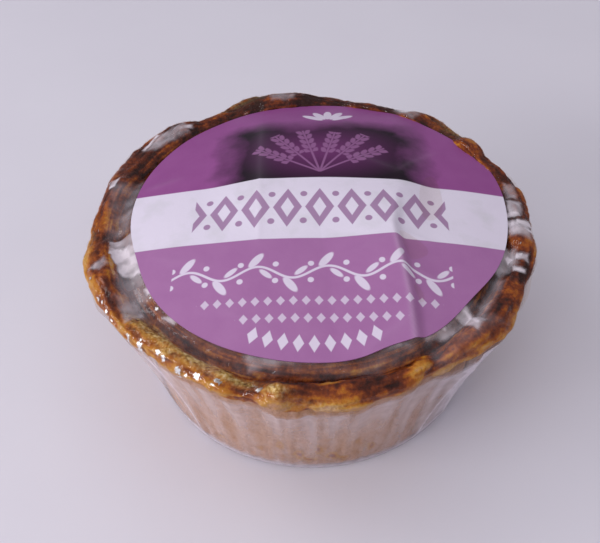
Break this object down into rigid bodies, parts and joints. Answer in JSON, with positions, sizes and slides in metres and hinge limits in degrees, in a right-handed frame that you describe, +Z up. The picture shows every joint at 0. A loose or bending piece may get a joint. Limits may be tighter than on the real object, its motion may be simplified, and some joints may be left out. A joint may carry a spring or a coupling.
{
  "type": "film-wrapped savoury pie",
  "caption": "Round deep savoury pie with a browned rolled rim and a pale ribbed side, tightly wrapped in clear film, with a round purple and white paper label on top",
  "frame": {"origin": "centre of the flat base, on the surface the pie stands on", "axes": "+Z up along the pie's axis; -Y is the front, from where the label is read; +X is the label's right"},
  "size_m": [0.1171, 0.1175, 0.0548],
  "materials": {
    "pie_crust": "gloss",
    "clear_film": "gloss",
    "label_paper": "satin"
  },
  "bodies": {
    "root": {"wrapped_pie": "pie_crust", "label": "label_paper"}
  },
  "joints": []
}
